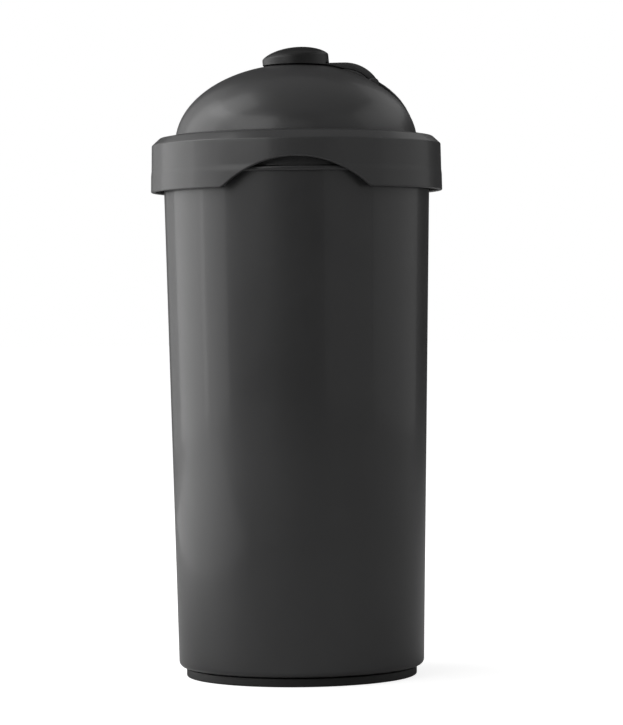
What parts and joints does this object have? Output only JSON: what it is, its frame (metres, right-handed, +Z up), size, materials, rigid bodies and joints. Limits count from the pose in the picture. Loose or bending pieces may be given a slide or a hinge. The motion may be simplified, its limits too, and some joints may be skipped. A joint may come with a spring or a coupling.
{
  "type": "protein shaker bottle",
  "caption": "Upright protein shaker bottle: tapered cup on a rubber foot ring, domed screw lid with grip arches, hinged flip cap with a knob over a small spout, and a strainer inside.",
  "frame": {"origin": "centre of the foot ring's bottom, on the surface the bottle stands on", "axes": "+Z up along the bottle's centre line; -Y is the front, with a grip arch; +X is the side of the flip cap's hinge"},
  "size_m": [0.0944, 0.0938, 0.2035],
  "materials": {
    "charcoal_plastic": "satin moulded charcoal plastic with a fine grain",
    "black_rubber": "matt black soft rubber",
    "black_soft_plastic": "black plastic with a fine soft-touch grain",
    "grey_silicone": "smooth grey silicone",
    "strainer_plastic": "satin dark grey plastic",
    "steel": "drawn stainless steel wire"
  },
  "bodies": {
    "cup_body": {"cup": "charcoal_plastic", "foot_ring": "black_rubber"},
    "seal": {"lid_gasket": "grey_silicone"},
    "lid": {"lid_shell": "charcoal_plastic", "hinge_pin": "steel"},
    "grid": {"strainer": "strainer_plastic"},
    "cap": {"cap_arm": "charcoal_plastic", "cap_knob": "black_soft_plastic", "spout_plug": "grey_silicone"}
  },
  "joints": [
    {"name": "lid_rise", "type": "slide", "parent": "cup_body", "child": "seal", "axis": [0, 0, 1], "range_m": [0, 0.0162]},
    {"name": "lid_turn", "type": "hinge", "parent": "seal", "child": "lid", "pos_m": [0, 0, 0.17], "axis": [0, 0, 1], "range_deg": [0, 720]},
    {"name": "strainer_pull", "type": "slide", "parent": "lid", "child": "grid", "axis": [0, 0, -1], "range_m": [0, 0.02]},
    {"name": "cap_flip", "type": "hinge", "parent": "lid", "child": "cap", "pos_m": [0.0252, 0, 0.19096], "axis": [0, 1, 0], "range_deg": [0, 120]}
  ],
  "couplings": [
    {"joint": "lid_rise", "follows": "lid_turn", "m_per_rad": 0.0012732}
  ]
}
